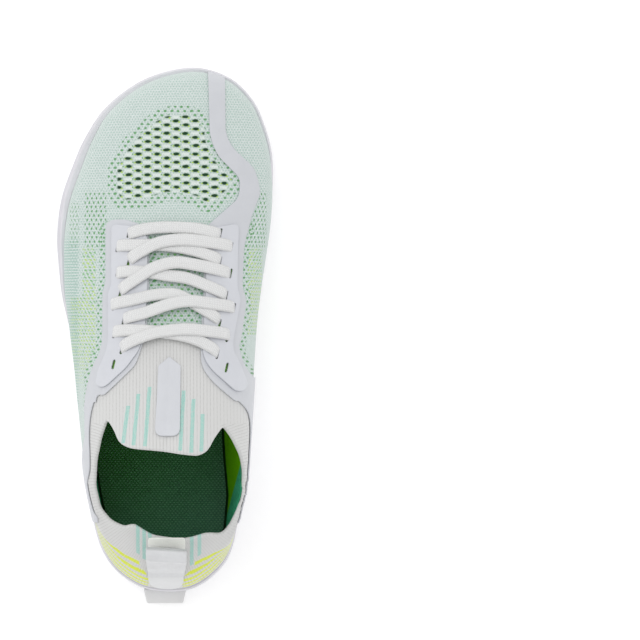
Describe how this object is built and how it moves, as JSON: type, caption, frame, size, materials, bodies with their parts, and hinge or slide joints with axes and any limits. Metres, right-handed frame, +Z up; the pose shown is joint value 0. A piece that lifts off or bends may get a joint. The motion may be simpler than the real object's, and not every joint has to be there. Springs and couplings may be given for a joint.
{
  "type": "barefoot running shoe",
  "caption": "Flat-soled knit running shoe with a wide toe box, sock collar and tongue, bonded overlays, flat crossed lacing and a webbing heel loop; left foot.",
  "frame": {"origin": "on the ground under the middle of the shoe's box", "axes": "+Y from heel to toe, +X to the big-toe side, +Z up"},
  "size_m": [0.1153, 0.286, 0.1104],
  "materials": {
    "sole_rubber": "matt pale lavender-grey moulded rubber, fine grain",
    "insole_textile": "dark green woven textile with a small diamond weave",
    "knit": "pale mint engineered knit with green dots, white ribbed collar and tongue",
    "film": "smooth pale grey bonded film, satin",
    "webbing": "white woven webbing with a slight sheen",
    "lace": "white flat woven lace"
  },
  "bodies": {
    "root": {"outsole": "sole_rubber", "insole": "insole_textile", "upper": "knit", "overlay_lateral": "film", "overlay_medial": "film", "lace_panel_lateral": "film", "lace_panel_medial": "film", "tongue_tab": "film", "heel_tape": "webbing", "heel_loop": "webbing", "heel_patch": "film", "lace_bar": "lace", "lace_crossing_1": "lace", "lace_crossing_2": "lace", "lace_crossing_3": "lace", "lace_crossing_4": "lace"}
  },
  "joints": []
}
